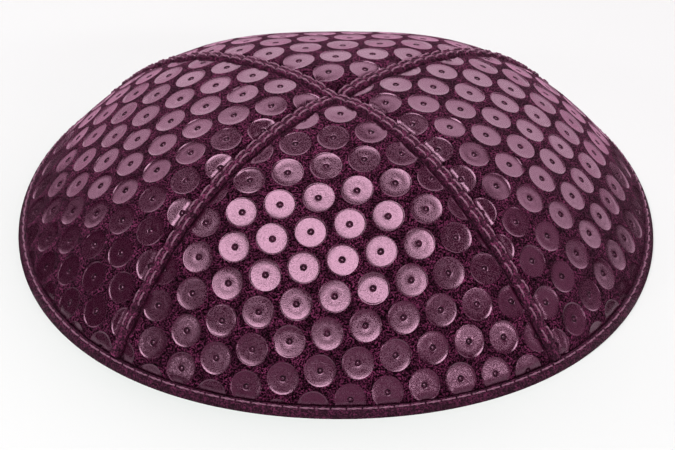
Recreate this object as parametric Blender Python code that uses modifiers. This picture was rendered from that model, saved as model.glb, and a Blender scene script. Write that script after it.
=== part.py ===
"""A leather skullcap: four puffed panels, three raised seam strips and a folded rim binding.

Metres, +Z up. The cap stands on its rim at z = 0 and its front faces -Y.
"""
import math
from collections import namedtuple

import bmesh
import bpy
import numpy as np

# Dome
RIM_RADIUS = 0.085
DOME_HEIGHT = 0.0469
DOME_FULLNESS = 0.33
RIM_SQUARENESS = 0.0008
CORNER_PUFF = 0.00094
FRONT_PUFF = 0.0017
SIDE_PUFF = 0.0014
RIGHT_PUFF = 0.0008

# Leather, and the clearance between pieces
LEATHER = 0.0012
GAP = 0.0003

# The crown, where the seams cross, and the seams that run from it
CROWN_X = -0.00045
CROWN_Y = -0.0036
STRIP_WIDTH = 0.0030
STRIP_PROUD = 0.0005
STRIP_CROWN = 0.0002
SEAM_DEPTH = 0.0013
SEAM_SPREAD = 0.0051
SEAM_START = 0.0026

# Each seam, seen from above: the azimuth in degrees where it meets the rim, and how far it strays
# to the left of a straight line on its way down, as one bow and as a double bend
Seam = namedtuple("Seam", "azimuth bow bend")
SEAMS = {
    "back_right": Seam(43.0, 0.0, -0.0010),
    "back_left": Seam(138.2, 0.0, 0.0),
    "front_left": Seam(227.2, -0.0011, 0.0),
    "front_right": Seam(313.1, 0.0, 0.0009),
}

# The two seams beside each panel, anticlockwise from above
PANELS = {
    "panel_back": ("back_right", "back_left"),
    "panel_left": ("back_left", "front_left"),
    "panel_front": ("front_left", "front_right"),
    "panel_right": ("front_right", "back_right"),
}

# The long strip runs from rim to rim over the crown, and the short ones stop beside it
LONG_STRIP = ("back_left", "front_right")
SHORT_STRIPS = ("front_left", "back_right")

# Rim binding: a leather tape that caps the panels' lower edge and is folded up inside them
BINDING_HEIGHT = 0.0032
BINDING_BULGE = 0.00025
BINDING_INNER_HEIGHT = 0.0055
BINDING_WALL = 0.0010

# Mesh fineness
PANEL_ACROSS = 20
PANEL_UP = 16
SIDE_CROWDING = 0.6
STRIP_ACROSS = 4
STRIP_ALONG = 28
BINDING_ROUND = 96
SLOPE_STEP = 0.0002
MERGE = 0.00001

# Leather colours, as linear red, green and blue
PANEL_COLOUR = (0.085, 0.022, 0.058)
STRIP_COLOUR = (0.110, 0.040, 0.080)
BINDING_COLOUR = (0.060, 0.014, 0.036)
LEATHER_ROUGHNESS = 0.6


def clear_scene():
    """Removes every object that is already in the scene."""
    for old in list(bpy.data.objects):
        bpy.data.objects.remove(old, do_unlink=True)


def leather_material(name, colour):
    """A plain leather finish."""
    material = bpy.data.materials.new(name)
    material.use_nodes = True
    shader = material.node_tree.nodes["Principled BSDF"]
    shader.inputs["Base Color"].default_value = (*colour, 1.0)
    shader.inputs["Roughness"].default_value = LEATHER_ROUGHNESS
    shader.inputs["Metallic"].default_value = 0.0
    return material


def rim_radius(azimuth):
    """Plan radius of the rim: a circle drawn out a little at its four corners."""
    return RIM_RADIUS + RIM_SQUARENESS * np.cos(4.0 * (azimuth - math.pi / 4.0))


def seam_line(seam):
    """Plan direction of a seam, as a unit x and y, and its straight length from crown to rim."""
    azimuth = math.radians(SEAMS[seam].azimuth)
    run_x = rim_radius(azimuth) * math.cos(azimuth) - CROWN_X
    run_y = rim_radius(azimuth) * math.sin(azimuth) - CROWN_Y
    length = math.hypot(run_x, run_y)
    return run_x / length, run_y / length, length


def seam_stray(seam, along):
    """How far a seam lies to the left of its straight line, at a distance along it."""
    share = np.clip(along / seam_line(seam)[2], 0.0, 1.0)
    return SEAMS[seam].bow * np.sin(math.pi * share) + SEAMS[seam].bend * np.sin(2.0 * math.pi * share)


def along_and_aside(seam, x, y):
    """Distance of plan points along a seam's straight line, and to the left of the seam itself."""
    dir_x, dir_y, _ = seam_line(seam)
    along = (x - CROWN_X) * dir_x + (y - CROWN_Y) * dir_y
    aside = (y - CROWN_Y) * dir_x - (x - CROWN_X) * dir_y
    return along, aside - seam_stray(seam, along)


def beside_seam(seam, along, aside):
    """Plan points at these distances along a seam and to its left."""
    dir_x, dir_y, _ = seam_line(seam)
    left = aside + seam_stray(seam, along)
    return CROWN_X + dir_x * along - dir_y * left, CROWN_Y + dir_y * along + dir_x * left


def seam_valleys(x, y):
    """Depth of the valleys that the seams pull into the dome, fading away towards the rim."""
    depth = 0.0
    for seam in SEAMS:
        along, aside = along_and_aside(seam, x, y)
        length = seam_line(seam)[2]
        starts = 1.0 / (1.0 + np.exp(-along / SEAM_START))
        fades = np.clip(1.0 - along / length, 0.0, 1.0)
        depth = depth + SEAM_DEPTH * starts * fades * np.exp(-((aside / SEAM_SPREAD) ** 2))
    return depth


def height(x, y):
    """Height of the leather's outer face over the plan point x, y."""
    azimuth = np.arctan2(y, x)
    share = np.hypot(x, y) / rim_radius(azimuth)
    inside = 1.0 - share**2
    # Each puff is a polynomial with a largest value of 1
    corners = -4.0 * np.cos(4.0 * azimuth) * share**2 * inside
    one_sided = 1.5 * math.sqrt(3.0) * share * inside
    sides = 4.0 * np.cos(2.0 * azimuth) * share**2 * inside
    dome = DOME_HEIGHT * inside * (1.0 + DOME_FULLNESS * share**2)
    front = -FRONT_PUFF * np.sin(azimuth) * one_sided
    right = RIGHT_PUFF * np.cos(azimuth) * one_sided
    return dome + CORNER_PUFF * corners + front + right + SIDE_PUFF * sides - seam_valleys(x, y)


def skin(x, y, lift):
    """Points on the outer face over x, y, moved out along its normal by lift."""
    slope_x = (height(x + SLOPE_STEP, y) - height(x - SLOPE_STEP, y)) / (2.0 * SLOPE_STEP)
    slope_y = (height(x, y + SLOPE_STEP) - height(x, y - SLOPE_STEP)) / (2.0 * SLOPE_STEP)
    normal = np.stack([-slope_x, -slope_y, np.ones_like(slope_x)], axis=-1)
    normal /= np.linalg.norm(normal, axis=-1, keepdims=True)
    return np.stack([x, y, height(x, y)], axis=-1) + normal * lift[:, None]


def radius_above_rim(azimuth, distance):
    """Plan radius at each azimuth of the point that lies a distance up the outer face."""
    radii = np.linspace(1.0, 0.7, 61)[:, None] * rim_radius(azimuth)
    heights = height(radii * np.cos(azimuth), radii * np.sin(azimuth))
    climbs = np.cumsum(np.hypot(np.diff(radii, axis=0), np.diff(heights, axis=0)), axis=0)
    climbs = np.vstack([np.zeros_like(azimuth), climbs])
    return np.array([np.interp(distance, climb, radius) for climb, radius in zip(climbs.T, radii.T)])


def lower_edge(azimuth):
    """Plan points of the panels' lower edge, just above the binding's step."""
    radius = radius_above_rim(azimuth, BINDING_HEIGHT + GAP)
    return radius * np.cos(azimuth), radius * np.sin(azimuth)


def seam_reach(seam):
    """Distance along a seam from the crown to the panels' lower edge."""
    foot_x, foot_y = lower_edge(np.array([math.radians(SEAMS[seam].azimuth)]))
    return math.hypot(foot_x[0] - CROWN_X, foot_y[0] - CROWN_Y)


def seam_side():
    """Distance from a seam's centre line to the edge of the panel beside it."""
    return STRIP_WIDTH / 2.0 + GAP


def foot_beside_seam(seam, side):
    """Azimuth where a panel's side edge, left (+1) or right (-1) of a seam, meets the lower edge."""
    azimuth = math.radians(SEAMS[seam].azimuth)
    for _ in range(8):
        _, aside = along_and_aside(seam, *lower_edge(np.array([azimuth])))
        azimuth += (side * seam_side() - aside[0]) / seam_line(seam)[2]
    return azimuth


def panel_corner(first, second):
    """Plan point of a panel's crown corner, where the edges beside its two seams meet."""
    x, y = CROWN_X, CROWN_Y
    for _ in range(12):
        along, _ = along_and_aside(second, x, y)
        x, y = beside_seam(second, along, -seam_side())
        along, _ = along_and_aside(first, x, y)
        x, y = beside_seam(first, along, seam_side())
    return x, y


def panel_side(seam, side, corner, v):
    """Plan points of a panel's side edge, from its foot at v = 0 to the crown corner at v = 1."""
    foot_x, foot_y = lower_edge(np.array([foot_beside_seam(seam, side)]))
    along_foot = along_and_aside(seam, foot_x[0], foot_y[0])[0]
    along_corner = along_and_aside(seam, *corner)[0]
    return beside_seam(seam, along_foot + (along_corner - along_foot) * v, side * seam_side())


def panel_points(seams, u, v):
    """Panel surface: u runs anticlockwise from seam to seam, v from the lower edge to the crown."""
    corner = panel_corner(*seams)
    start = foot_beside_seam(seams[0], 1.0)
    turn = (foot_beside_seam(seams[1], -1.0) - start) % (2.0 * math.pi)
    crowded = u - SIDE_CROWDING * np.sin(2.0 * math.pi * u) / (2.0 * math.pi)
    foot = lower_edge(start + crowded * turn)
    first_side = panel_side(seams[0], 1.0, corner, v)
    second_side = panel_side(seams[1], -1.0, corner, v)
    first_foot = panel_side(seams[0], 1.0, corner, 0.0)
    second_foot = panel_side(seams[1], -1.0, corner, 0.0)
    place = []
    for axis in (0, 1):
        straight = foot[axis] + (corner[axis] - foot[axis]) * v
        first_off = first_side[axis] - first_foot[axis] - (corner[axis] - first_foot[axis]) * v
        second_off = second_side[axis] - second_foot[axis] - (corner[axis] - second_foot[axis]) * v
        place.append(straight + first_off * (1.0 - u) + second_off * u)
    return skin(place[0], place[1], np.zeros_like(u))


def strip_lift(u):
    """How far a seam strip stands proud: a little at its sides and most in its middle."""
    return STRIP_PROUD + STRIP_CROWN * 4.0 * u * (1.0 - u)


def short_strip_points(seam, u, v):
    """Seam strip surface: u runs from its left side to its right, v from the crown to the rim."""
    dir_x, dir_y, _ = seam_line(seam)
    long_x, long_y, _ = seam_line(LONG_STRIP[0])
    sine = abs(dir_x * long_y - dir_y * long_x)
    cosine = abs(dir_x * long_x + dir_y * long_y)
    start = (seam_side() + GAP + STRIP_WIDTH / 2.0 * cosine) / sine
    x, y = beside_seam(seam, start + (seam_reach(seam) - start) * v, STRIP_WIDTH * (0.5 - u))
    return skin(x, y, strip_lift(u))


def long_strip_points(seams, u, v):
    """As the short strip, with v running from the rim at the first seam to the rim at the second."""
    travel = np.round(2.0 * v - 1.0, 6)
    before = beside_seam(seams[0], np.maximum(-travel, 0.0) * seam_reach(seams[0]), STRIP_WIDTH * (u - 0.5))
    after = beside_seam(seams[1], np.maximum(travel, 0.0) * seam_reach(seams[1]), STRIP_WIDTH * (0.5 - u))
    # At the crown itself the place is the mean of the two, a mitre
    past = (1.0 + np.sign(travel)) / 2.0
    x = before[0] * (1.0 - past) + after[0] * past
    y = before[1] * (1.0 - past) + after[1] * past
    return skin(x, y, strip_lift(u))


def leather_piece(collection, name, cells, points, thickness, colour):
    """A grid laid on the skin by points(u, v), with its leather's thickness on its inner side."""
    bm = bmesh.new()
    bmesh.ops.create_grid(bm, x_segments=cells[0], y_segments=cells[1], size=0.5)
    flat = np.array([vert.co[:2] for vert in bm.verts]) + 0.5
    for vert, place in zip(bm.verts, points(flat[:, 0], flat[:, 1])):
        vert.co = place
    bmesh.ops.remove_doubles(bm, verts=bm.verts, dist=MERGE)
    mesh = bpy.data.meshes.new(name)
    bm.to_mesh(mesh)
    bm.free()
    mesh.materials.append(leather_material(name, colour))
    mesh.shade_smooth()
    piece = bpy.data.objects.new(name, mesh)
    collection.objects.link(piece)
    wall = piece.modifiers.new("leather", "SOLIDIFY")
    wall.thickness = thickness
    wall.offset = -1.0
    wall.use_even_offset = True


def binding_section():
    """The binding's section above its foot: distance up the outer face, and depth under it."""
    step_depth = LEATHER + GAP
    inner_depth = step_depth + BINDING_WALL
    return (
        (BINDING_HEIGHT * 0.35, -BINDING_BULGE * 0.8),
        (BINDING_HEIGHT * 0.70, -BINDING_BULGE),
        (BINDING_HEIGHT * 0.95, -BINDING_BULGE * 0.4),
        (BINDING_HEIGHT, BINDING_BULGE),
        (BINDING_HEIGHT, step_depth),
        (BINDING_INNER_HEIGHT, step_depth),
        (BINDING_INNER_HEIGHT, inner_depth),
    )


def ring_at(radius, azimuth):
    """Points on the floor at each azimuth."""
    return np.stack([radius * np.cos(azimuth), radius * np.sin(azimuth), np.zeros_like(radius)], axis=-1)


def binding_rings(azimuth):
    """Rings of points round the cap, one for each corner of the binding's section."""
    rim = rim_radius(azimuth)
    rings = [ring_at(rim, azimuth)]
    for distance, depth in binding_section():
        radius = radius_above_rim(azimuth, distance)
        rings.append(skin(radius * np.cos(azimuth), radius * np.sin(azimuth), np.full_like(radius, -depth)))
    # The inner face runs down to the floor as steeply as the outer face does
    outer_top = radius_above_rim(azimuth, BINDING_HEIGHT)
    steepness = (rim - outer_top) / height(outer_top * np.cos(azimuth), outer_top * np.sin(azimuth))
    inner_top = rings[-1]
    inner_foot = np.hypot(inner_top[:, 0], inner_top[:, 1]) + inner_top[:, 2] * steepness
    rings.append(ring_at(inner_foot, azimuth))
    return rings


def rim_binding(collection, name, colour):
    """A torus primitive whose small circles are laid on the binding's section."""
    azimuth = 2.0 * math.pi * np.arange(BINDING_ROUND) / BINDING_ROUND
    rings = binding_rings(azimuth)
    bpy.ops.mesh.primitive_torus_add(major_segments=BINDING_ROUND, minor_segments=len(rings))
    binding = bpy.context.object
    binding.name = name
    binding.data.name = name
    binding.data.vertices.foreach_set("co", np.stack(rings, axis=1).ravel())
    binding.data.materials.append(leather_material(name, colour))
    binding.data.shade_smooth()
    for holder in list(binding.users_collection):
        holder.objects.unlink(binding)
    collection.objects.link(binding)


def build():
    """Builds every piece of the cap in its own collection."""
    clear_scene()
    cap = bpy.data.collections.new("skullcap")
    bpy.context.scene.collection.children.link(cap)
    for name, seams in PANELS.items():

        def panel(u, v, seams=seams):
            return panel_points(seams, u, v)

        leather_piece(cap, name, (PANEL_ACROSS, PANEL_UP), panel, LEATHER, PANEL_COLOUR)
    strip_thickness = LEATHER + STRIP_PROUD
    for seam in SHORT_STRIPS:

        def short_strip(u, v, seam=seam):
            return short_strip_points(seam, u, v)

        cells = (STRIP_ACROSS, STRIP_ALONG)
        leather_piece(cap, "seam_strip_" + seam, cells, short_strip, strip_thickness, STRIP_COLOUR)

    def long_strip(u, v):
        return long_strip_points(LONG_STRIP, u, v)

    cells = (STRIP_ACROSS, 2 * STRIP_ALONG)
    leather_piece(cap, "seam_strip_long", cells, long_strip, strip_thickness, STRIP_COLOUR)
    rim_binding(cap, "rim_binding", BINDING_COLOUR)


build()
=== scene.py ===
"""Looks of a leather skullcap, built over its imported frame.

Four puffed panels pressed with rows of dotted discs, raised seams with two rows of stitches each, and
a stitched rim binding. Metres, +Z up. The cap stands on its rim at z = 0 and its front faces -Y.
"""
import math
from collections import namedtuple
from contextlib import contextmanager
from functools import partial

import bmesh
import bpy
import numpy as np
from bpy.props import FloatProperty, FloatVectorProperty, IntProperty, PointerProperty
from mathutils import Matrix, Vector


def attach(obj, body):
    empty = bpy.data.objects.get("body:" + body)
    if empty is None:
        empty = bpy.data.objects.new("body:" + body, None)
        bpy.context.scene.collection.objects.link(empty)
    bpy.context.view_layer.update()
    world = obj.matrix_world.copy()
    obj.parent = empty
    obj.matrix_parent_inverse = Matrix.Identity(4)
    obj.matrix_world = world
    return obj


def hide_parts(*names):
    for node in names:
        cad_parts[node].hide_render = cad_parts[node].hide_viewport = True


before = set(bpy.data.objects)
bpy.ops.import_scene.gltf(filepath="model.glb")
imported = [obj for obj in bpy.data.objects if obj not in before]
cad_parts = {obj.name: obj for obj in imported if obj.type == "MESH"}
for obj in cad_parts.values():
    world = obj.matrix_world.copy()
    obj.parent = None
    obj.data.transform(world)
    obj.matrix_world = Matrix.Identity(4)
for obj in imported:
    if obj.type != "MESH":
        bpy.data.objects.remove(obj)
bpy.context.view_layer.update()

bl_info = {
    "name": "Leather Skullcap",
    "version": (1, 0, 0),
    "blender": (4, 5, 0),
    "location": "3D View > Sidebar > Skullcap",
    "description": "Dresses a packed skullcap in pressed leather, seams, binding and stitches",
    "category": "Object",
}

# Each seam, seen from above: the azimuth in degrees where it meets the rim, and how far it strays
# to the left of a straight line on its way down, as one bow and as a double bend
Seam = namedtuple("Seam", "azimuth bow bend")
SEAMS = {
    "back_right": Seam(43.0, 0.0, -0.0010),
    "back_left": Seam(138.2, 0.0, 0.0),
    "front_left": Seam(227.2, -0.0011, 0.0),
    "front_right": Seam(313.1, 0.0, 0.0009),
}

# Each panel: the seams beside it anticlockwise, the azimuth that it faces, the turn of its rows of
# discs in degrees, and where one disc lies on its flat leather: across + up j from its middle
Panel = namedtuple("Panel", "seams facing turn start")
PANELS = {
    "panel_front": Panel(("front_left", "front_right"), -90.0, 11.66, -0.02439 + 0.00258j),
    "panel_right": Panel(("front_right", "back_right"), 0.0, -83.14, -0.00837 + 0.03570j),
    "panel_back": Panel(("back_right", "back_left"), 90.0, -168.64, 0.00237 + 0.04166j),
    "panel_left": Panel(("back_left", "front_left"), 180.0, -81.88, -0.00060 + 0.03353j),
}

# The long strip runs from rim to rim over the crown, and the short ones stop beside it
LONG_STRIP = ("back_left", "front_right")
SHORT_STRIPS = ("front_left", "back_right")

# Relief of the pressed leather: distance from a disc's middle, and height over the disc's face
DISC_RELIEF = (
    (0.00000, -0.00004),
    (0.00022, -0.00006),
    (0.00034, -0.00022),
    (0.00070, -0.00026),
    (0.00086, -0.00003),
    (0.00104, 0.0),
    (0.00230, 0.0),
    (0.00378, 0.0),
    (0.00394, 0.00005),
    (0.00409, 0.00016),
    (0.00424, 0.00024),
    (0.00600, 0.00022),
)
DIMPLE = (0.00034, 0.00086)
DISC_EDGE = 0.00424
POINTS_ON_EDGE = 8

# How far inside a panel's edges its mesh gets edge loops, and past them its cells still count
EDGE_LOOPS = (0.00025, 0.0006, 0.0011, 0.0019)
CELL_MARGIN = 0.0068

# Angle in degrees over which a piece's edges stay sharp
CREASE = 60.0

BLACK = (0.01, 0.01, 0.01)
WHITE = (1.0, 1.0, 1.0)
PINK = (1.0, 0.60, 0.80)

# Binding's section: distance up the outer face, and depth under it
BINDING_SECTION = (
    (0.0003, -0.00016),
    (0.0007, -0.00028),
    (0.0012, -0.00036),
    (0.0017, -0.00035),
    (0.0021, -0.00026),
    (0.0024, -0.00013),
    (0.0026, -0.00007),
    (0.0028, -0.00010),
    (0.0030, -0.00014),
    (0.0031, -0.00006),
    (0.0032, 0.00015),
    (0.0032, 0.00060),
    (0.0032, 0.00150),
    (0.0055, 0.00150),
    (0.0056, 0.00200),
    (0.0055, 0.00250),
    (0.0045, 0.00258),
    (0.0030, 0.00256),
)


def length(name, description, default):
    """A property that holds a length in metres."""
    return FloatProperty(name=name, description=description, default=default, unit="LENGTH", precision=5)


def share(name, description, default):
    """A property that holds a plain number."""
    return FloatProperty(name=name, description=description, default=default, precision=3)


def colour(name, description, default):
    """A property that holds a linear colour."""
    return FloatVectorProperty(name=name, description=description, default=default, subtype="COLOR", min=0.0, max=1.0)


class CapForm(bpy.types.PropertyGroup):
    """Sizes of the dome, as in the part's source."""

    rim_radius: length("Rim radius", "Mean plan radius of the rim", 0.085)
    rim_squareness: length("Rim squareness", "How far the rim's corners stand out", 0.0008)
    dome_height: length("Dome height", "Height of the plain dome", 0.0469)
    dome_fullness: share("Dome fullness", "How full the dome is near the rim", 0.33)
    corner_puff: length("Corner puff", "Puff of the panels between the seams", 0.00094)
    front_puff: length("Front puff", "Puff towards the front", 0.0017)
    side_puff: length("Side puff", "Puff towards both sides", 0.0014)
    right_puff: length("Right puff", "Puff towards the right", 0.0008)
    crown_x: length("Crown X", "Where the seams cross", -0.00045)
    crown_y: length("Crown Y", "Where the seams cross", -0.0036)
    seam_depth: length("Seam depth", "Depth of the valley along a seam", 0.0013)
    seam_spread: length("Seam spread", "Half width of that valley", 0.0051)
    seam_start: length("Seam start", "How softly a valley starts at the crown", 0.0026)
    leather: length("Leather", "Thickness of the panels", 0.0012)
    gap: length("Gap", "Clearance between pieces", 0.0003)
    strip_width: length("Strip width", "Width of a seam strip", 0.0030)
    binding_height: length("Binding height", "Height of the binding up the outer face", 0.0032)


class CapPattern(bpy.types.PropertyGroup):
    """Sizes of the pressed discs and the panels' edges."""

    pitch: length("Pitch", "Distance between discs in a row", 0.010115)
    row_step: share("Row step", "Distance between rows, in pitches", 0.8875)
    row_shift: share("Row shift", "Shift from row to row, in pitches", 0.3685)
    tilt: share("Tilt", "How far discs lean at random, as a slope", 0.018)
    flatness: share("Flatness", "How much the press flattens the dome under a disc, per metre", 3.2)
    roll_depth: length("Roll depth", "How far a panel's edge turns down", 0.00075)
    roll_width: length("Roll width", "Width over which it turns down", 0.0013)
    edge_pucker: length("Edge pucker", "Height of the puckers beside a seam", 0.00010)


class CapSewing(bpy.types.PropertyGroup):
    """Sizes of the seams and stitches."""

    stitch_pitch: length("Stitch pitch", "Distance from stitch to stitch", 0.0042)
    stitch_length: length("Stitch length", "Length of thread that shows", 0.0039)
    slant: length("Slant", "How far a stitch strays across its row", 0.00022)
    thread: length("Thread", "Diameter of the two-ply thread", 0.00054)
    row_spacing: length("Row spacing", "Distance between a seam's two rows", 0.0017)
    strip_proud: length("Strip proud", "How far a strip stands off the dome", 0.00062)
    strip_flank: length("Strip flank", "Width over which a strip's side turns down", 0.00055)
    strip_drop: length("Strip drop", "How far a strip's side turns down", 0.0011)
    channel: length("Channel", "Depth to which a row of stitches sinks in", 0.00028)
    pucker: length("Pucker", "Height of the puckers between stitches", 0.00014)
    rim_row: length("Rim row", "Height of the rim's stitches up the outer face", 0.0026)


class CapColours(bpy.types.PropertyGroup):
    """Colours of the leathers and the thread."""

    suede: colour("Suede", "Nap between the discs", (0.178, 0.030, 0.091))
    suede_dark: colour("Dark suede", "Nap brushed the other way", (0.0012, 0.0001, 0.0006))
    disc: colour("Disc", "Pressed and polished discs", (0.030, 0.0022, 0.0125))
    disc_dark: colour("Dark disc", "Worn specks on the discs", (0.014, 0.0008, 0.006))
    ring: colour("Ring", "Ring round each disc's middle", (0.070, 0.010, 0.034))
    seam: colour("Seam", "Seam strips", (0.165, 0.028, 0.084))
    binding: colour("Binding", "Rim binding", (0.100, 0.015, 0.050))
    thread: colour("Thread", "Stitches", (0.26, 0.10, 0.17))
    flesh: colour("Flesh side", "Inside of the leather", (0.110, 0.045, 0.075))
    floor: colour("Floor", "Studio floor", (0.612, 0.650, 0.628))


class CapStage(bpy.types.PropertyGroup):
    """Camera and lights."""

    elevation: share("Elevation", "Camera angle above the floor, in degrees", 35.03)
    distance: length("Distance", "Camera distance from the middle of the rim", 1.70)
    lens: share("Lens", "Focal length in millimetres", 341.5)
    roll: share("Roll", "Turn of the camera about its view, in degrees", 0.484)
    overhead: share("Overhead", "Power of the overhead softbox in watts", 33.5)
    back: share("Back", "Power of the back card in watts", 57.5)
    front: share("Front", "Power of the dim front fill in watts", 21.5)
    strip: share("Strip", "Power of the narrow front light in watts", 2.2)
    fill: share("Fill", "Brightness of the room", 0.03)
    seed: IntProperty(name="Seed", description="Start of the random numbers", default=7)


def form():
    """The dome's sizes."""
    return bpy.context.scene.cap_form


def pattern():
    """The pressed pattern's sizes."""
    return bpy.context.scene.cap_pattern


def sewing():
    """The seams' and stitches' sizes."""
    return bpy.context.scene.cap_sewing


def polar(radius, azimuth):
    """Plan points at a radius and an azimuth."""
    return radius * np.cos(azimuth), radius * np.sin(azimuth)


def bell(distance, width):
    """A bell curve: one in its middle, less by the square of the distance over the width."""
    return np.exp(-((distance / width) ** 2))


def unit(vectors):
    """The same vectors, one long."""
    return vectors / np.linalg.norm(vectors, axis=-1, keepdims=True)


def rim_radius(azimuth):
    """Plan radius of the rim: a circle drawn out by a cosine of four times the azimuth."""
    return form().rim_radius + form().rim_squareness * np.cos(4.0 * (azimuth - math.pi / 4.0))


def seam_line(seam):
    """Plan direction of a seam, as a unit x and y, and its straight length from crown to rim."""
    azimuth = math.radians(SEAMS[seam].azimuth)
    rim_x, rim_y = polar(rim_radius(azimuth), azimuth)
    run_x, run_y = rim_x - form().crown_x, rim_y - form().crown_y
    run = math.hypot(run_x, run_y)
    return run_x / run, run_y / run, run


def seam_stray(seam, along):
    """How far a seam lies to the left of its straight line: half a sine wave plus a whole one."""
    part = np.clip(along / seam_line(seam)[2], 0.0, 1.0)
    return SEAMS[seam].bow * np.sin(math.pi * part) + SEAMS[seam].bend * np.sin(2.0 * math.pi * part)


def along_and_aside(seam, x, y, side=1.0):
    """Distance of plan points along a seam's straight line, and to the left of the seam itself, or
    to its right where side is -1."""
    dir_x, dir_y, _ = seam_line(seam)
    from_x, from_y = x - form().crown_x, y - form().crown_y
    along = from_x * dir_x + from_y * dir_y
    return along, side * (from_y * dir_x - from_x * dir_y - seam_stray(seam, along))


def beside_seam(seam, along, aside, side=1.0):
    """The inverse: plan points at these distances along and beside a seam."""
    dir_x, dir_y, _ = seam_line(seam)
    left = side * aside + seam_stray(seam, along)
    return form().crown_x + dir_x * along - dir_y * left, form().crown_y + dir_y * along + dir_x * left


def seam_valleys(x, y):
    """Depth of the valleys along the seams: a bell curve across, a soft step at the crown, and a
    straight fade to nothing at the rim."""
    depth = 0.0
    for seam in SEAMS:
        along, aside = along_and_aside(seam, x, y)
        starts = 1.0 / (1.0 + np.exp(-along / form().seam_start))
        fades = np.clip(1.0 - along / seam_line(seam)[2], 0.0, 1.0)
        depth = depth + form().seam_depth * starts * fades * bell(aside, form().seam_spread)
    return depth


def height(x, y):
    """Height of the leather's outer face: a dome that falls off with the square and fourth power of
    the radius, plus four puffs of sines and cosines of the azimuth, less the seams' valleys."""
    azimuth = np.arctan2(y, x)
    out = np.hypot(x, y) / rim_radius(azimuth)
    inside = 1.0 - out**2
    corners = -4.0 * np.cos(4.0 * azimuth) * out**2 * inside
    one_sided = 1.5 * math.sqrt(3.0) * out * inside
    sides = 4.0 * np.cos(2.0 * azimuth) * out**2 * inside
    dome = form().dome_height * inside * (1.0 + form().dome_fullness * out**2)
    lean = (form().right_puff * np.cos(azimuth) - form().front_puff * np.sin(azimuth)) * one_sided
    return dome + form().corner_puff * corners + lean + form().side_puff * sides - seam_valleys(x, y)


def skin_normal(x, y):
    """Unit normals of the outer face, from its slopes over 0.2 mm."""
    step = 0.0002
    slope_x = (height(x + step, y) - height(x - step, y)) / (2.0 * step)
    slope_y = (height(x, y + step) - height(x, y - step)) / (2.0 * step)
    return unit(np.stack([-slope_x, -slope_y, np.ones_like(slope_x)], axis=-1))


def skin(x, y, lift):
    """Points on the outer face over x, y, moved out along its normal by lift."""
    return np.stack([x, y, height(x, y)], axis=-1) + skin_normal(x, y) * lift[..., None]


def radius_above_rim(azimuth, distance):
    """Plan radius of the point that lies a distance up the outer face, read from a table of climbs
    at 720 azimuths."""
    around = np.linspace(-math.pi, math.pi, 721)
    radii = np.linspace(1.0, 0.7, 121)[:, None] * rim_radius(around)
    climbs = np.hypot(np.diff(radii, axis=0), np.diff(height(*polar(radii, around)), axis=0))
    climbs = np.vstack([np.zeros_like(around), np.cumsum(climbs, axis=0)])
    table = np.array([np.interp(distance, climb, radius) for climb, radius in zip(climbs.T, radii.T)])
    return np.interp((azimuth + math.pi) % (2.0 * math.pi) - math.pi, around, table)


def edge_radius(azimuth):
    """Plan radius of the panels' lower edge, just above the binding's step."""
    return radius_above_rim(azimuth, form().binding_height + form().gap)


def seam_reach(seam):
    """Distance along a seam from the crown to the panels' lower edge."""
    azimuth = math.radians(SEAMS[seam].azimuth)
    x, y = polar(edge_radius(azimuth), azimuth)
    return math.hypot(x - form().crown_x, y - form().crown_y)


def seam_side():
    """Distance from a seam's centre line to the edge of the panel beside it."""
    return form().strip_width / 2.0 + form().gap


def panel_sides(panel):
    """A panel's two seams, each with the side of it on which the panel lies."""
    return zip(PANELS[panel].seams, (1.0, -1.0))


def meridian():
    """Plan radii from the crown outwards, the lengths of leather down the plain dome to each, and
    the radius of the ball on which that leather is unrolled."""
    out = np.linspace(0.0, 1.2, 481)
    rise = form().dome_height * (1.0 - out**2) * (1.0 + form().dome_fullness * out**2)
    radii = out * form().rim_radius
    lengths = np.concatenate([[0.0], np.cumsum(np.hypot(np.diff(radii), np.diff(rise)))])
    low = form().dome_height / form().rim_radius
    rim_angle = math.asin(2.0 * low / (1.0 + low**2))
    return radii, lengths, np.interp(form().rim_radius, radii, lengths) / rim_angle


def panel_axes(panel):
    """Unit vectors on the ball at a panel's middle: outwards, across and up towards the crown."""
    radii, lengths, ball = meridian()
    angle = np.interp(0.55 * form().rim_radius, radii, lengths) / ball
    facing = math.radians(PANELS[panel].facing)
    outward = np.array([*polar(math.sin(angle), facing), math.cos(angle)])
    across = np.array([-math.sin(facing), math.cos(facing), 0.0])
    return outward, across, np.cross(outward, across)


def flat_to_plan(panel, flat):
    """Plan points of places on a panel's flat leather, wrapped on the ball along great circles and
    then let down on the dome by equal lengths of leather from the crown."""
    radii, lengths, ball = meridian()
    outward, east, north = panel_axes(panel)
    away = np.maximum(np.abs(flat), 1e-9)
    turn, heading = (away / ball)[..., None], (flat / away)[..., None]
    place = np.cos(turn) * outward + np.sin(turn) * (heading.real * east + heading.imag * north)
    radius = np.interp(np.arccos(np.clip(place[..., 2], -1.0, 1.0)) * ball, lengths, radii)
    return polar(radius, np.arctan2(place[..., 1], place[..., 0]))


def plan_to_flat(panel, x, y):
    """The inverse: places on a panel's flat leather of plan points."""
    radii, lengths, ball = meridian()
    outward, east, north = panel_axes(panel)
    angle = np.interp(np.hypot(x, y), radii, lengths) / ball
    place = np.stack([*polar(np.sin(angle), np.arctan2(y, x)), np.cos(angle)], axis=-1)
    turn = np.arccos(np.clip(place @ outward, -1.0, 1.0))
    return turn * ball / np.maximum(np.sin(turn), 1e-9) * (place @ (east + 1j * north))


def lattice_turn(panel):
    """The turn of a panel's rows of discs, as a unit complex number."""
    return np.exp(1j * math.radians(PANELS[panel].turn))


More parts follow.
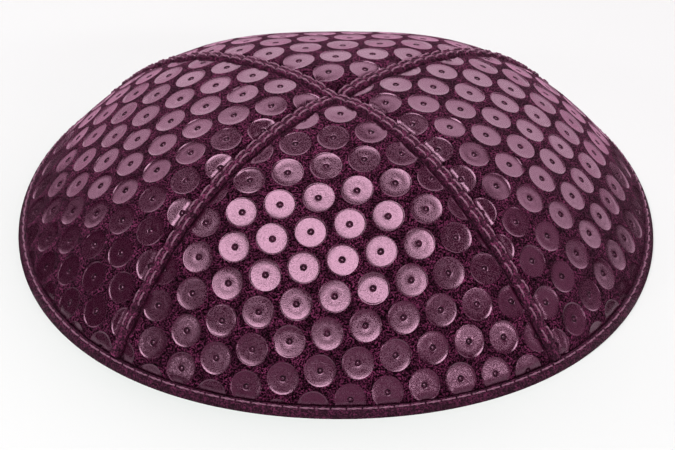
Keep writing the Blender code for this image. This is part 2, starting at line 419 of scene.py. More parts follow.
def disc_centres(panel, column, row):
    """Places on the flat leather of the discs in these columns and rows of the slanted lattice."""
    steps = column + (pattern().row_shift + 1j * pattern().row_step) * row
    return PANELS[panel].start + pattern().pitch * steps * lattice_turn(panel)


def nearest_disc(panel, x, y):
    """Offset on the flat leather from the nearest disc's middle, and that disc's column and row:
    the best of the three nearest rows."""
    flat = plan_to_flat(panel, x, y)
    steps = (flat - PANELS[panel].start) / lattice_turn(panel) / pattern().pitch
    tries = []
    for step in (-1, 0, 1):
        row = np.round(steps.imag / pattern().row_step) + step
        column = np.round(steps.real - pattern().row_shift * row)
        tries.append([flat - disc_centres(panel, column, row), column, row])
    tries = np.array(tries)
    return tries[np.abs(tries[:, 0]).argmin(axis=0), :, np.arange(len(flat))].T


def cell_border(panel):
    """Border of one disc's cell round its middle, anticlockwise: the six corners lie as far from
    the disc as from two neighbours, and each side has evenly spaced points."""
    column, row = np.array(((1, 0), (0, 1), (-1, 1), (-1, 0), (0, -1), (1, -1))).T
    near = disc_centres(panel, column, row) - PANELS[panel].start
    after = np.roll(near, -1)
    corners = near * np.abs(after) ** 2 - after * np.abs(near) ** 2
    corners = corners / (near * after.conj() - near.conj() * after)
    part = np.arange(POINTS_ON_EDGE) / POINTS_ON_EDGE
    return (corners[:, None] * (1.0 - part) + np.roll(corners, -1)[:, None] * part).ravel()


def cells_on_panel(panel):
    """Middles on the flat leather of the cells that touch a panel."""
    count = np.arange(-14, 15)
    middles = disc_centres(panel, *np.meshgrid(count, count)).ravel()
    middles = middles[np.abs(middles) < 0.095]
    x, y = flat_to_plan(panel, middles)
    near = np.hypot(x, y) < edge_radius(np.arctan2(y, x)) + CELL_MARGIN
    for seam, side in panel_sides(panel):
        near &= along_and_aside(seam, x, y, side)[1] > seam_side() - CELL_MARGIN
    return middles[near]


def ring_quads(rings, sides, closed=False):
    """Quads between rings of points that are numbered ring by ring. The last ring also meets the
    first where closed."""
    ring, side = np.arange(rings - 1 + closed)[:, None], np.arange(sides)[None, :]
    this, other = ring * sides, (ring + 1) % rings * sides
    after = (side + 1) % sides
    return np.stack([this + side, this + after, other + after, other + side], axis=-1).reshape(-1, 4)


@contextmanager
def editing(mesh):
    """Opens a mesh for bmesh operators, and puts the result back."""
    edit = bmesh.new()
    edit.from_mesh(mesh)
    yield edit
    edit.to_mesh(mesh)
    edit.free()


def pressed_sheet(panel):
    """A flat mesh of a panel's leather in plan, not yet trimmed: round each disc's middle a grid of
    rings by spokes, whose last ring is the cell's border, shared with its neighbours."""
    border = cell_border(panel)
    rings = np.array([distance for distance, _ in DISC_RELIEF[1:-1]])
    offsets = np.concatenate([rings[:, None] * border / np.abs(border), border[None, :]]).ravel()
    middles = cells_on_panel(panel)[:, None]
    flat = np.concatenate([middles, middles + offsets], axis=1)
    spoke = np.arange(len(border))
    fan = np.stack([spoke * 0, 1 + spoke, 1 + (spoke + 1) % len(border)], axis=-1)
    quads = 1 + np.roll(ring_quads(len(rings) + 1, len(border))[:, ::-1], 1, axis=1)
    first = flat.shape[1] * np.arange(len(flat))[:, None, None]
    faces = [*(fan + first).reshape(-1, 3).tolist(), *(quads + first).reshape(-1, 4).tolist()]
    x, y = flat_to_plan(panel, flat.ravel())
    mesh = bpy.data.meshes.new(panel + "_flat")
    mesh.from_pydata(np.stack([x, y, x * 0.0], axis=-1), [], faces)
    with editing(mesh) as edit:
        bmesh.ops.remove_doubles(edit, verts=edit.verts, dist=0.00002)
    return mesh


def plan_of(mesh):
    """The x and y of a mesh's vertices."""
    places = np.zeros(len(mesh.vertices) * 3)
    mesh.vertices.foreach_get("co", places)
    return places[0::3], places[1::3]


def put_plan(mesh, x, y):
    """Gives a mesh's vertices this x and y."""
    mesh.vertices.foreach_set("co", np.stack([x, y, np.zeros_like(x)], axis=-1).ravel())


def cut_flat(mesh, forward, back, level):
    """Trims a flat mesh where forward's second coordinate falls under a level, and adds the edge
    loops inside. The cut is straight in those coordinates, so that back puts its new corners on
    the curve."""
    put_plan(mesh, *forward(*plan_of(mesh)))
    with editing(mesh) as edit:
        for inside in (0.0, *EDGE_LOOPS):
            bmesh.ops.bisect_plane(
                edit,
                geom=[*edit.verts, *edit.edges, *edit.faces],
                dist=0.000002,
                plane_co=(0.0, level + inside, 0.0),
                plane_no=(0.0, 1.0, 0.0),
                clear_inner=inside == 0.0,
            )
    put_plan(mesh, *back(*plan_of(mesh)))


def trim_panel(mesh, panel):
    """Cuts a panel's sheet beside its two seams and at its lower edge."""
    facing = math.radians(PANELS[panel].facing)

    def above_edge(x, y):
        azimuth = np.arctan2(y, x)
        return (azimuth - facing + math.pi) % (2.0 * math.pi) - math.pi, edge_radius(azimuth) - np.hypot(x, y)

    def from_edge(turn, above):
        return polar(edge_radius(turn + facing) - above, turn + facing)

    for seam, side in panel_sides(panel):
        cut_flat(mesh, partial(along_and_aside, seam, side=side), partial(beside_seam, seam, side=side), seam_side())
    cut_flat(mesh, above_edge, from_edge, 0.0)
    with editing(mesh) as edit:
        bmesh.ops.remove_doubles(edit, verts=edit.verts, dist=0.00001)
        bmesh.ops.triangulate(edit, faces=edit.faces)


def edge_roll(panel, x, y):
    """How far the leather turns down near a panel's edges: the square of the distance into a
    narrow band, less small waves at the stitches' pitch that fade inwards."""
    edges = []
    for seam, side in panel_sides(panel):
        along, aside = along_and_aside(seam, x, y, side)
        edges.append((1.0, aside - seam_side(), 2.0 * math.pi * along / sewing().stitch_pitch))
    azimuth = np.arctan2(y, x)
    edges.append((0.7, edge_radius(azimuth) - np.hypot(x, y), rim_stitches() * azimuth))
    down = np.zeros_like(x)
    for amount, inside, beat in edges:
        inside = np.maximum(inside, 0.0)
        down += amount * pattern().roll_depth * np.clip(1.0 - inside / pattern().roll_width, 0.0, 1.0) ** 2
        down -= pattern().edge_pucker * (0.5 - 0.5 * np.cos(beat)) * np.exp(-inside / 0.0012)
    return down


def rim_stitches():
    """How many stitches go round the rim."""
    return round(2.0 * math.pi * form().rim_radius / sewing().stitch_pitch)


def pressed_relief(panel, x, y):
    """Height of the pressed pattern over the plain leather, a random number for each disc and the
    distance from its middle. The height is read from the disc's relief by that distance, plus a
    random lean and the square of the distance, which flattens the disc, less the turned edges."""
    off, column, row = nearest_disc(panel, x, y)
    away = np.abs(off)
    distances, heights = np.array(DISC_RELIEF).T
    relief = np.interp(away, distances, heights) - heights[-1]
    chance = np.random.default_rng(bpy.context.scene.cap_stage.seed + list(PANELS).index(panel))
    leans = pattern().tilt * chance.normal(size=(2, 40, 40))
    tones = chance.random((40, 40))
    place = (column.real.astype(int) + 20, row.real.astype(int) + 20)
    lean = leans[0][place] * off.real + leans[1][place] * off.imag
    fade = np.clip((0.0041 - away) / 0.0002, 0.0, 1.0)
    relief = relief + (lean + pattern().flatness * away**2) * fade
    return relief - edge_roll(panel, x, y), tones[place], away


def add_object(name, points, faces, *materials, crease=None):
    """A smooth object in the scene, sharp only at edges over the crease's angle."""
    mesh = bpy.data.meshes.new(name)
    mesh.from_pydata(points, [], faces)
    for material in materials:
        mesh.materials.append(material)
    mesh.shade_smooth()
    if crease:
        mesh.set_sharp_from_angle(angle=math.radians(crease))
    added = bpy.data.objects.new(name, mesh)
    bpy.context.scene.collection.objects.link(added)
    return added


def closed_shell(name, outer, inner, triangles, kinds, materials):
    """A piece with two faces and a wall: the outer triangles, the same ones turned over on the inner
    points, and two triangles on each open edge. The kinds are the outer triangles' materials, and
    the inner face and the wall take the last but one and the last."""
    count = len(outer)
    edges = np.concatenate([triangles[:, [0, 1]], triangles[:, [1, 2]], triangles[:, [2, 0]]])
    keys = edges.min(axis=1) * count + edges.max(axis=1)
    _, where, times = np.unique(keys, return_inverse=True, return_counts=True)
    start, end = edges[times[where] == 1].T
    wall = np.array([[end, start, start + count], [end, start + count, end + count]]).swapaxes(1, 2).reshape(-1, 3)
    faces = np.concatenate([triangles, triangles[:, ::-1] + count, wall])
    piece = add_object(name, np.concatenate([outer, inner]), faces.tolist(), *materials, crease=CREASE)
    last = len(materials) - 1
    kinds = np.concatenate([kinds, np.full(len(triangles), last - 1), np.full(len(wall), last)])
    piece.data.polygons.foreach_set("material_index", kinds.astype(np.int32))
    piece.data.update()
    return piece


def flat_cut(panel, x, y, triangles):
    """Width, length and area of the leather that a panel was cut from, from its triangles on the
    flat: an area is half a cross product."""
    corners = plan_to_flat(panel, x, y)[triangles]
    first, second = corners[:, 1] - corners[:, 0], corners[:, 2] - corners[:, 0]
    area = np.abs((first.conj() * second).imag).sum() / 2.0
    return float(np.ptp(corners.real)), float(np.ptp(corners.imag)), float(area)


def leather_panel(panel, materials):
    """One panel: its pressed sheet, trimmed, lifted on the dome and given its thickness. Also the
    flat cut that it needs."""
    mesh = pressed_sheet(panel)
    trim_panel(mesh, panel)
    x, y = plan_of(mesh)
    triangles = np.zeros(len(mesh.polygons) * 3, np.int32)
    mesh.polygons.foreach_get("vertices", triangles)
    triangles = triangles.reshape(-1, 3)
    bpy.data.meshes.remove(mesh)
    relief, tone, away = pressed_relief(panel, x, y)
    outer, inner = skin(x, y, relief), skin(x, y, 0.3 * relief - form().leather)
    nearest, farthest = away[triangles].min(axis=1), away[triangles].max(axis=1)
    slack = 0.00002
    matt = (nearest > DIMPLE[0] - slack) & (farthest < DIMPLE[1] + slack)
    kinds = (farthest < DISC_EDGE + slack).astype(int) + matt
    piece = closed_shell(panel + "_leather", outer, inner, triangles, kinds, materials)
    near_rim = bell(edge_radius(np.arctan2(y, x)) - np.hypot(x, y), 0.0065)
    for name, values in (("disc_tone", tone), ("near_rim", near_rim)):
        store = piece.data.attributes.new(name, "FLOAT", "POINT").data
        store.foreach_set("value", np.tile(values, 2).astype(np.float32))
    return piece, flat_cut(panel, x, y, triangles)


def grid_triangles(rows, columns):
    """Triangles of a grid whose points are numbered along each row in turn."""
    row, column = np.arange(rows - 1)[:, None], np.arange(columns - 1)[None, :]
    corner = (row * columns + column).ravel()
    first = np.stack([corner, corner + 1, corner + columns + 1], axis=-1)
    second = np.stack([corner, corner + columns + 1, corner + columns], axis=-1)
    return np.concatenate([first, second])


def strip_relief(along, aside):
    """How far a seam strip's face lies off the dome: a flat ridge whose sides turn down with the
    square of the distance, less two channels with the shape of a bell curve that are deepest
    where the needle went in, plus puckers in step with the stitches."""
    out = np.abs(aside)
    flank = np.clip((out - form().strip_width / 2.0) / sewing().strip_flank + 1.0, 0.0, 1.0)
    beat = np.cos(2.0 * math.pi * along / sewing().stitch_pitch)
    channels = sewing().channel * bell(out - sewing().row_spacing / 2.0, 0.00034) * (0.65 + 0.35 * beat)
    puckers = (0.5 - 0.5 * beat) * (0.4 + 0.6 * flank) + 0.5 * beat * bell(aside, 0.0005)
    return sewing().strip_proud - sewing().strip_drop * flank**2 - channels + sewing().pucker * puckers


def strip_columns():
    """Distances across a seam strip, closer together at its sides."""
    part = np.linspace(-1.0, 1.0, 29)
    return form().strip_width / 2.0 * np.sin(part * math.pi / 2.0)


def strip_shell(name, relief, x, y, materials):
    """A strip's piece from its relief and its grid of plan points, turned to face outwards."""
    relief, x, y = (grid[:, ::-1] for grid in (relief, x, y))
    outer, inner = (skin(x, y, lift).reshape(-1, 3) for lift in (relief, x * 0.0 - form().leather))
    triangles = grid_triangles(*x.shape)
    return closed_shell(name + "_leather", outer, inner, triangles, np.zeros(len(triangles), int), materials)


def short_strip_start(seam, aside):
    """Distance along a short strip at which it touches the long strip's side, at a distance from
    its own centre line: both straight lines, solved for where they cross."""
    dir_x, dir_y, _ = seam_line(seam)
    long_x, long_y, _ = seam_line(LONG_STRIP[0])
    sine = dir_x * long_y - dir_y * long_x
    cosine = dir_x * long_x + dir_y * long_y
    reach = form().strip_width / 2.0 + 0.00008
    return (reach - math.copysign(cosine, sine * cosine) * aside) / abs(sine)


def short_strip(seam, materials):
    """A grid from the crown to the rim by the strip's width. Its end follows the long strip's side,
    and sinks beside it along a smooth ramp."""
    end, across = seam_reach(seam), -strip_columns()
    start = short_strip_start(seam, across)
    part = np.linspace(0.0, 1.0, int((end - start.mean()) / 0.00026))[:, None]
    along = start + (end - start) * part
    aside = np.broadcast_to(across, along.shape)
    ramp = np.clip((along - start) / 0.0011, 0.0, 1.0)
    relief = strip_relief(along - short_strip_start(seam, 0.0), aside)
    relief = relief - 0.0007 * (1.0 - ramp * ramp * (3.0 - 2.0 * ramp))
    return strip_shell("seam_strip_" + seam, relief, *beside_seam(seam, along, aside), materials)


def long_strip(materials):
    """As the short strip, from the rim at one seam over the crown to the rim at the other."""
    first, second = LONG_STRIP
    travel = np.linspace(-seam_reach(first), seam_reach(second), 700)
    travel = travel - travel[np.abs(travel).argmin()] * (1.0 - np.abs(travel) / np.abs(travel).max())
    travel, aside = np.meshgrid(travel, strip_columns(), indexing="ij")
    before = beside_seam(first, np.maximum(-travel, 0.0), aside)
    after = beside_seam(second, np.maximum(travel, 0.0), aside, side=-1.0)
    past = (1.0 + np.sign(np.round(travel, 7))) / 2.0
    x, y = (one * (1.0 - past) + other * past for one, other in zip(before, after))
    return strip_shell("seam_strip_long", strip_relief(np.abs(travel), aside), x, y, materials)


def on_cap(azimuth, distance, lift):
    """Points at a distance up the outer face from the rim, lifted off it."""
    return skin(*polar(radius_above_rim(azimuth, distance), azimuth), lift + azimuth * 0.0)


def binding_ring(azimuth, distance, depth):
    """Points round the cap at a distance up the outer face and a depth under it. Near the row of
    stitches the outer face puckers and sinks in, and the inner face puckers the other way."""
    beat = np.cos(rim_stitches() * azimuth)
    off_row = distance - sewing().rim_row
    pull = bell(off_row, 0.0011) if depth < 0.001 else -0.4 * (depth > 0.002)
    sink = bell(off_row, 0.0003) * (depth < 0.0002)
    lift = sewing().pucker * pull * (0.5 - 0.5 * beat) - sewing().channel * sink * (0.55 + 0.45 * beat)
    return on_cap(azimuth, distance, lift - depth)


def binding_rings(azimuth):
    """Rings of points round the cap, one for each corner of the binding's section, from the foot up
    the outer face, under the panels' edge, and down the inner face to the floor."""
    rim, top = rim_radius(azimuth), radius_above_rim(azimuth, form().binding_height)
    rings = [binding_ring(azimuth, distance, depth) for distance, depth in BINDING_SECTION]
    steepness = (rim - top) / height(*polar(top, azimuth))
    foot = np.hypot(*rings[-1][:, :2].T) + rings[-1][:, 2] * steepness
    outer, inner = (np.stack([*polar(radius, azimuth), azimuth * 0.0], axis=-1) for radius in (rim, foot))
    return np.stack([outer, *rings, inner])


def rim_binding(material):
    """The binding's section carried round the cap, closed both ways."""
    around = 1064
    rings = binding_rings(2.0 * math.pi * np.arange(around) / around - math.pi)
    quads = ring_quads(len(rings), around, closed=True)
    return add_object("rim_binding_leather", rings.reshape(-1, 3), quads.tolist(), material, crease=CREASE)


def stitch_template():
    """One stitch along x over z = 0: two plies wound round each other as helices, sinking in at
    both ends with the fourth power of the distance from the middle. Points by ply, ring and side."""
    rings, sides = 13, 6
    part = np.linspace(-1.0, 1.0, rings)[:, None]
    wind = 3.3 * part + np.array([0.0, math.pi])[:, None, None]
    turn = 2.0 * math.pi * np.arange(sides) / sides
    ply = sewing().thread * 0.29
    slim = 1.0 - 0.25 * part**4
    sink = sewing().thread * (0.42 - part**4)
    x = np.broadcast_to(part * sewing().stitch_length / 2.0, (2, rings, sides))
    y = ply * (0.85 * np.cos(wind) + slim * np.cos(turn))
    return np.stack([x, y, ply * (0.85 * np.sin(wind) + slim * np.sin(turn)) + sink], axis=-1)


def lay_stitches(name, starts, ends, normals, material):
    """All the stitches of a row or more as one mesh: the template set between each start and end,
    standing along the normal."""
    template = stitch_template()
    plies, rings, sides, _ = template.shape
    forward = unit(ends - starts)
    side = unit(np.cross(normals, forward))
    axes = np.stack([forward, side, np.cross(forward, side)], axis=1)
    middle = (starts + ends) / 2.0
    points = np.einsum("prsa,nab->nprsb", template, axes) + middle[:, None, None, None, :]
    tube = rings * sides
    caps = np.array([range(sides), range(tube - 1, tube - sides - 1, -1)])
    tubes = tube * np.arange(len(starts) * plies)[:, None, None]
    quads = ring_quads(rings, sides)[:, ::-1] + tubes
    faces = quads.reshape(-1, 4).tolist() + (caps + tubes).reshape(-1, sides).tolist()
    return add_object(name, points.reshape(-1, 3), faces, material)


def seam_stitches(seam, material):
    """Two rows along a seam, each stitch a straight step of the thread over the strip's channel."""
    start = short_strip_start(seam, 0.0) if seam in SHORT_STRIPS else 0.0
    pitch = sewing().stitch_pitch
    along = start + (np.arange(int((seam_reach(seam) - start) / pitch)) + 0.5) * pitch
    chance = np.random.default_rng(bpy.context.scene.cap_stage.seed + 100 + list(SEAMS).index(seam))
    rows = []
    for side in (-1.0, 1.0):
        drift = 0.00008 * chance.normal(size=(2, len(along)))
        aside = side * sewing().row_spacing / 2.0 + drift[0]
        ends = []
        for way in (-1.0, 1.0):
            step = along + way * sewing().stitch_length / 2.0 + drift[1]
            place = beside_seam(seam, step, aside + way * 0.5 * (sewing().slant + drift[0]))
            ends.append(skin(*place, strip_relief(along - start, aside)))
        rows.append([*ends, skin_normal(*beside_seam(seam, along, aside))])
    return lay_stitches("seam_stitches_" + seam, *(np.concatenate(part) for part in zip(*rows)), material)


def rim_row(name, distance, depth, outwards, material):
    """A row of stitches round the rim, on the binding's outer or inner face."""
    middle = 2.0 * math.pi * (np.arange(rim_stitches()) + 0.5) / rim_stitches()
    half = sewing().stitch_length / 2.0 / form().rim_radius
    starts, ends = (on_cap(azimuth, distance, -depth) for azimuth in (middle - half, middle + half))
    normals = outwards * skin_normal(*polar(radius_above_rim(middle, distance), middle))
    return lay_stitches(name, starts, ends, normals, material)


def darker(tint, part):
    """A part of a colour."""
    return tuple(value * part for value in tint)


class Surface:
    """A new material, with short calls for the nodes that feed its shader."""

    def __init__(self, name, base, roughness):
        self.material = bpy.data.materials.new(name)
        self.material.use_nodes = True
        self.tree = self.material.node_tree
        self.shader = self.tree.nodes["Principled BSDF"]
        self.feed(self.shader, {"Base Color": (*base, 1.0), "Roughness": roughness})
        self.place = self.node("TexCoord").outputs["Object"]

    def feed(self, node, inputs):
        """Gives a node's inputs, by name or number, their values or links from other nodes."""
        for key, value in inputs.items():
            if isinstance(value, bpy.types.NodeSocket):
                self.tree.links.new(value, node.inputs[key])
            else:
                node.inputs[key].default_value = value

    def node(self, kind, inputs=None, **settings):
        """A new node with its inputs and settings."""
        node = self.tree.nodes.new("ShaderNode" + kind)
        for name, setting in settings.items():
            setattr(node, name, setting)
        self.feed(node, inputs or {})
        return node

    def noise(self, scale, detail, roughness=0.55):
        """A noise over the object's own coordinates, with its scale in waves a metre."""
        inputs = {"Vector": self.place, "Scale": scale, "Detail": detail, "Roughness": roughness}
        return self.node("TexNoise", inputs).outputs["Fac"]

    def spread(self, value, low, high, to_low=0.0, to_high=1.0):
        """Maps a value from one range to another along a smooth step, and holds it there."""
        inputs = {"Value": value, "From Min": low, "From Max": high, "To Min": to_low, "To Max": to_high}
        return self.node("MapRange", inputs, interpolation_type="SMOOTHSTEP").outputs["Result"]

    def mix(self, factor, first, second):
        """A colour between two, by a factor."""
        inputs = {0: factor, 6: (*first, 1.0), 7: (*second, 1.0)}
        return self.node("Mix", inputs, data_type="RGBA").outputs[2]

    def combine(self, operation, first, second):
        """Two values worked into one."""
        return self.node("Math", {0: first, 1: second}, operation=operation).outputs[0]

    def number(self, name):
        """A number that the mesh stores at each vertex."""
        return self.node("Attribute", attribute_name=name).outputs["Fac"]

    def finish(self, inputs, *bumps):
        """Sets the shader's inputs, chains bumps into its normal, each a height, a strength and a
        distance, and gives the material."""
        normal = {}
        for relief, strength, distance in bumps:
            bump = self.node("Bump", {"Height": relief, "Strength": strength, "Distance": distance, **normal})
            normal = {"Normal": bump.outputs["Normal"]}
        self.feed(self.shader, {**inputs, **normal})
        return self.material


def suede_material(colours):
    """Napped leather between the discs: dark, with lighter flecks where the nap stands up."""
    suede = Surface("suede", colours.suede, 0.9)
    flecks = suede.spread(suede.noise(2300.0, 3.0, 0.75), 0.47, 0.61)
    patches = suede.spread(suede.noise(260.0, 3.0), 0.35, 0.65, 0.35, 1.0)
    amount = suede.combine("MULTIPLY", flecks, patches)
    inputs = {
        "Base Color": suede.mix(amount, colours.suede_dark, colours.suede),
        "Roughness": suede.spread(flecks, 0.0, 1.0, 0.95, 0.7),
        "Specular IOR Level": 0.03,
        "Specular Tint": (1.0, 0.5, 0.75, 1.0),
        "Sheen Weight": 0.06,
        "Sheen Roughness": 0.4,
        "Sheen Tint": (1.0, 0.45, 0.70, 1.0),
    }
    return suede.finish(inputs, (flecks, 0.8, 0.00015), (suede.noise(3000.0, 3.0, 0.65), 0.7, 0.00010))


def disc_material(colours):
    """Pressed leather: smooth and glossy, with a fine grain and small worn specks, and creased where
    it is pulled over the rim."""
    disc = Surface("pressed_disc", colours.disc, 0.22)
    specks = disc.spread(disc.noise(4200.0, 2.0, 0.6), 0.40, 0.66)
    clouds = disc.spread(disc.noise(420.0, 4.0, 0.6), 0.40, 0.75, 0.0, 0.2)
    worn = disc.combine("MAXIMUM", specks, clouds)
    tone = disc.spread(disc.number("disc_tone"), 0.0, 1.0, -0.02, 0.04)
    rough = disc.combine("ADD", disc.spread(worn, 0.0, 1.0, 0.11, 0.37), tone)
    grain = disc.noise(1700.0, 3.0, 0.6)
    creases = disc.combine("MULTIPLY", disc.noise(950.0, 4.0, 0.7), disc.number("near_rim"))
    inputs = {
        "Base Color": disc.mix(worn, colours.disc, colours.disc_dark),
        "Roughness": disc.combine("ADD", rough, disc.spread(grain, 0.38, 0.62, -0.03, 0.07)),
        "IOR": 1.8,
        "Specular IOR Level": 0.62,
        "Specular Tint": (1.0, 0.55, 0.77, 1.0),
    }
    coarse = (creases, 0.4, 0.00016), (clouds, 0.15, 0.00005)
    return disc.finish(inputs, *coarse, (specks, 0.20, 0.00005), (grain, 0.16, 0.00004))


def leather_material(name, base, shine):
    """Folded leather, creased and worn: cells for the creases, and noises for the pores, for dark
    patches and for lumps."""
    leather = Surface(name, base, shine)
    cells = leather.node("TexVoronoi", {"Vector": leather.place, "Scale": 1250.0}).outputs["Distance"]
    pores = leather.spread(leather.noise(2100.0, 3.0, 0.7), 0.42, 0.60)
    lumps = leather.noise(620.0, 3.0, 0.6)
    worn = leather.combine("MULTIPLY", pores, leather.spread(lumps, 0.38, 0.60, 0.30, 1.0))
    inputs = {
        "Base Color": leather.mix(worn, darker(base, 0.04), base),
        "Roughness": leather.spread(pores, 0.0, 1.0, shine + 0.2, shine),
        "Specular IOR Level": 0.28,
        "Specular Tint": (1.0, 0.50, 0.75, 1.0),
    }
    return leather.finish(inputs, (lumps, 0.8, 0.00042), (cells, 0.5, 0.00012), (pores, 0.9, 0.00014))


def thread_material(colours):
    """Waxed thread with fine fibres along it."""
    thread = Surface("thread", colours.thread, 0.48)
    fibres = thread.noise(5200.0, 2.0, 0.6)
    inputs = {
        "Base Color": thread.mix(thread.spread(fibres, 0.35, 0.65), darker(colours.thread, 0.5), colours.thread),
        "Sheen Weight": 0.15,
        "Sheen Tint": (1.0, 0.70, 0.85, 1.0),
    }
    return thread.finish(inputs, (fibres, 0.5, 0.00005))


def flesh_material(colours):
    """The rough inner side of the leather."""
    flesh = Surface("flesh_side", colours.flesh, 0.92)
    nap = flesh.noise(1300.0, 5.0, 0.7)
    tint = flesh.mix(flesh.spread(nap, 0.35, 0.65), darker(colours.flesh, 0.55), colours.flesh)
    return flesh.finish({"Base Color": tint, "Sheen Weight": 0.2}, (nap, 0.6, 0.00020))


def shared(name, maker, *values):
    """A material made once and shared."""
    return bpy.data.materials.get(name) or maker(*values)


def dress(piece, node=None):
    """The piece moves with the cap, and may stand for one of the cap's nodes."""
    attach(piece, "root")
    if node:
        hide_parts(node)


class SKULLCAP_OT_panels(bpy.types.Operator):
    """Builds the four pressed leather panels."""

    bl_idname = "skullcap.panels"
    bl_label = "Leather panels"

    def execute(self, context):
        colours = context.scene.cap_colours
        suede = shared("suede", suede_material, colours)
        disc = shared("pressed_disc", disc_material, colours)
        ring = shared("dimple_ring", leather_material, "dimple_ring", colours.ring, 0.6)
        flesh = shared("flesh_side", flesh_material, colours)
        for panel in PANELS:
            piece, (width, length, area) = leather_panel(panel, (suede, disc, ring, flesh, suede))
            dress(piece, panel)
        return {"FINISHED"}


class SKULLCAP_OT_seam_strips(bpy.types.Operator):
    """Builds the raised seam strips."""

    bl_idname = "skullcap.seam_strips"
    bl_label = "Seam strips"

    def execute(self, context):
        colours = context.scene.cap_colours
        leather = shared("strip_hide", leather_material, "strip_hide", colours.seam, 0.6)
        materials = (leather, shared("flesh_side", flesh_material, colours), leather)
        dress(long_strip(materials), "seam_strip_long")
        for seam in SHORT_STRIPS:
            dress(short_strip(seam, materials), "seam_strip_" + seam)
        return {"FINISHED"}


class SKULLCAP_OT_rim_binding(bpy.types.Operator):
    """Builds the folded rim binding."""

    bl_idname = "skullcap.rim_binding"
    bl_label = "Rim binding"

    def execute(self, context):
        tint = context.scene.cap_colours.binding
        hide = shared("binding_hide", leather_material, "binding_hide", tint, 0.55)
        dress(rim_binding(hide), "rim_binding")
        return {"FINISHED"}


class SKULLCAP_OT_stitches(bpy.types.Operator):
    """Sews the seams and the rim."""

    bl_idname = "skullcap.stitches"
    bl_label = "Stitches"

    def execute(self, context):
        thread = shared("thread", thread_material, context.scene.cap_colours)
        for seam in SEAMS:
            dress(seam_stitches(seam, thread))
        dress(rim_row("rim_stitches_outer", sewing().rim_row, -0.00002, 1.0, thread))
        dress(rim_row("rim_stitches_inner", 0.0042, 0.00258, -1.0, thread))
        return {"FINISHED"}


class SKULLCAP_OT_stage(bpy.types.Operator):
    """Sets up the floor, the lights and the camera."""

    bl_idname = "skullcap.stage"
    bl_label = "Studio stage"

    def execute(self, context):
        stage = context.scene.cap_stage
        make_floor(context.scene.cap_colours.floor)
        make_lights(stage)
        # Painted reflections: two black sheets, seen only in the cap's gloss, paint shade into what the discs reflect
        # at the left and right, and a mauve one tints what they reflect behind.
        make_reflection_sheet("left_dark_reflection_sheet", 145.0, 200.0, BLACK)
        make_reflection_sheet("right_dark_reflection_sheet", -20.0, 33.0, BLACK)
        make_reflection_sheet("back_tinted_reflection_sheet", 33.0, 145.0, (0.80, 0.44, 0.62))
        make_room(context.scene, stage.fill)
        context.scene.view_settings.view_transform = "Standard"
        make_camera(stage)
        return {"FINISHED"}


def make_lights(stage):
    """A softbox overhead, wide cards behind, dim fills in front and at the right, and two small
    lights low in front."""
    overhead = ((-0.235, -0.365, 1.5), (-0.235, -0.365, 0.0), -40.7, (1.60, 1.16))
    area_light("overhead_softbox", "ELLIPSE", *overhead, stage.overhead, WHITE)
    back = ((0.742, 1.862, 1.17), (0.124, -0.04, 1.17), 0.0, (3.74, 2.25))
    area_light("back_card", "RECTANGLE", *back, stage.back, (1.0, 0.79, 0.91))
    side = ((-1.18, 1.62, 0.81), (0.0, 0.0, 0.81), 0.0, (1.22, 1.50))
    area_light("back_left_card", "ELLIPSE", *side, stage.back * 0.145, (1.0, 0.72, 0.87))
    front = ((1.0, -2.0, 1.15), (0.3, 0.0, 1.15), 0.0, (6.4, 2.3))
    area_light("front_fill", "RECTANGLE", *front, stage.front, PINK)
    right = ((1.99, 0.17, 1.06), (0.0, 0.0, 1.06), 0.0, (1.3, 1.1))
    area_light("right_fill", "RECTANGLE", *right, stage.front * 0.12, PINK)
    strip = ((0.840, -0.731, 0.546), (0.0, 0.0, 0.01), -20.0, (0.78, 0.08))
    area_light("front_right_strip", "RECTANGLE", *strip, stage.strip, WHITE)
    spark = ((-0.82, -0.64, 0.60), (0.0, 0.0, 0.01), 0.0, (0.22, 0.14))
    area_light("front_left_spark", "RECTANGLE", *spark, stage.strip * 0.36, WHITE)


def make_room(scene, fill):
    """An even dim room, with a pale backdrop where the camera looks past the floor."""
    world = bpy.data.worlds.new("room")
    world.use_nodes = True
    nodes, links = world.node_tree.nodes, world.node_tree.links
    room, backdrop = nodes["Background"], nodes.new("ShaderNodeBackground")
    room.inputs["Color"].default_value = (*PINK, 1.0)
    room.inputs["Strength"].default_value = fill
    backdrop.inputs["Color"].default_value = (0.86, 0.86, 0.86, 1.0)
    path, mixed = nodes.new("ShaderNodeLightPath"), nodes.new("ShaderNodeMixShader")
    for number, output in enumerate((path.outputs["Is Camera Ray"], room.outputs[0], backdrop.outputs[0])):
        links.new(output, mixed.inputs[number])
    links.new(mixed.outputs[0], nodes["World Output"].inputs["Surface"])
    scene.world = world


def make_floor(tint):
    """A wide pale floor just under the rim, with painted shade that makes it a little darker far from the cap, where
    the lamps' light falls off.
    """
    floor = Surface("floor", tint, 1.0)
    # Painted shade: the floor's colour falls to half its tint from 0.3 m to 1.3 m out, in place of the lamps'
    # falloff.
    away = floor.node("VectorMath", {0: floor.place}, operation="LENGTH").outputs["Value"]
    shade = floor.mix(floor.spread(away, 0.3, 1.3), tint, darker(tint, 0.5))
    material = floor.finish({"Base Color": shade, "Specular IOR Level": 0.0})
    corners = [(x * 8.0, y * 8.0, 0.0) for x, y in ((-1, -1), (1, -1), (1, 1), (-1, 1))]
    add_object("studio_floor", corners, [(0, 1, 2, 3)], material)


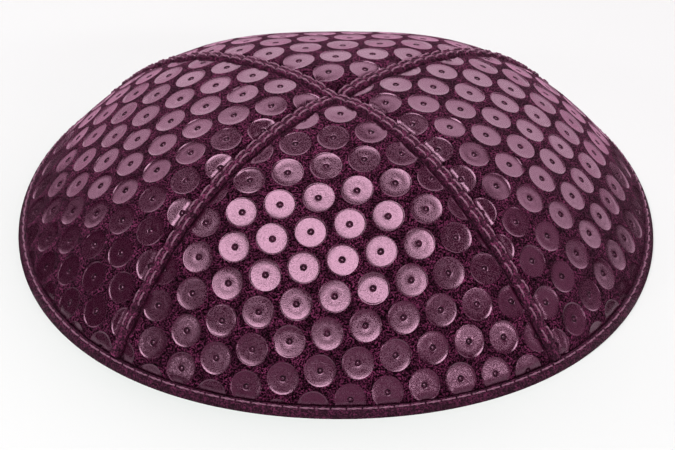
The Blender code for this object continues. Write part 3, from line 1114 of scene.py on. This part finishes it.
def make_reflection_sheet(name, start, end, tint):
    """A matt sheet on the floor from one azimuth to another, seen only in the cap's gloss, where it paints a
    reflection: a black one paints the shade of a dark room, a tinted one tints what the discs reflect. A grid of two
    arcs."""
    material = Surface(name, tint, 1.0).finish({"Specular IOR Level": 0.0})
    azimuth = np.radians(np.linspace(start, end, 25))
    arcs = [np.stack([*polar(radius, azimuth), azimuth * 0.0 + 0.0003], axis=-1) for radius in (0.084, 3.0)]
    faces = [(step, step + 25, step + 26, step + 1) for step in range(24)]
    reflection_only_sheet = add_object(name, np.concatenate(arcs), faces, material)
    reflection_only_sheet.visible_camera = reflection_only_sheet.visible_diffuse = reflection_only_sheet.visible_shadow = False


def area_light(name, shape, place, target, turn, size, power, tint):
    """A soft light that shines from its place at a target, turned about that line by degrees, and
    isn't seen itself."""
    light = bpy.data.lights.new(name, "AREA")
    light.shape = shape
    light.size, light.size_y = size
    light.energy = power
    light.color = tint
    lamp = bpy.data.objects.new(name, light)
    bpy.context.scene.collection.objects.link(lamp)
    lamp.location = place
    aim = (Vector(target) - Vector(place)).to_track_quat("-Z", "Y").to_matrix().to_4x4()
    lamp.rotation_euler = (aim @ Matrix.Rotation(math.radians(turn), 4, "Z")).to_euler()
    lamp.visible_camera = False


def make_camera(stage):
    """A long lens from the front, looking down at the middle of the rim."""
    data = bpy.data.cameras.new("photo_camera")
    camera = bpy.data.objects.new("photo_camera", data)
    bpy.context.scene.collection.objects.link(camera)
    tip = math.radians(stage.elevation)
    camera.location = stage.distance * Vector((0.0, -math.cos(tip), math.sin(tip)))
    face = Matrix.Rotation(math.pi / 2.0 - tip, 4, "X")
    camera.rotation_euler = (face @ Matrix.Rotation(math.radians(stage.roll), 4, "Z")).to_euler()
    data.sensor_width = 36.0
    data.lens = stage.lens
    data.shift_x = 1.57 / 675.0
    data.shift_y = 4.47 / 675.0
    data.clip_start, data.clip_end = 0.05, 50.0
    bpy.context.scene.camera = camera


class SKULLCAP_PT_sidebar(bpy.types.Panel):
    """Lists the steps that build the cap, and its sizes and colours."""

    bl_label = "Skullcap"
    bl_idname = "SKULLCAP_PT_sidebar"
    bl_space_type = "VIEW_3D"
    bl_region_type = "UI"
    bl_category = "Skullcap"

    def draw(self, context):
        layout = self.layout
        for operator in OPERATORS:
            layout.operator(operator.bl_idname)
        for group in GROUPS:
            box = layout.box()
            box.label(text=group)
            values = getattr(context.scene, group)
            for name in GROUPS[group].__annotations__:
                box.prop(values, name)


GROUPS = {
    "cap_form": CapForm,
    "cap_pattern": CapPattern,
    "cap_sewing": CapSewing,
    "cap_colours": CapColours,
    "cap_stage": CapStage,
}
OPERATORS = (
    SKULLCAP_OT_panels,
    SKULLCAP_OT_seam_strips,
    SKULLCAP_OT_rim_binding,
    SKULLCAP_OT_stitches,
    SKULLCAP_OT_stage,
)


def register():
    """Registers the classes and hangs the property groups on the scene."""
    for item in (*GROUPS.values(), *OPERATORS, SKULLCAP_PT_sidebar):
        bpy.utils.register_class(item)
    for name, group in GROUPS.items():
        setattr(bpy.types.Scene, name, PointerProperty(type=group))


def unregister():
    """Takes them away again."""
    for name in GROUPS:
        delattr(bpy.types.Scene, name)
    for item in reversed((*GROUPS.values(), *OPERATORS, SKULLCAP_PT_sidebar)):
        bpy.utils.unregister_class(item)


def main():
    """Builds everything."""
    register()
    bpy.ops.skullcap.panels()
    bpy.ops.skullcap.seam_strips()
    bpy.ops.skullcap.rim_binding()
    bpy.ops.skullcap.stitches()
    bpy.ops.skullcap.stage()


if __name__ == "__main__":
    main()
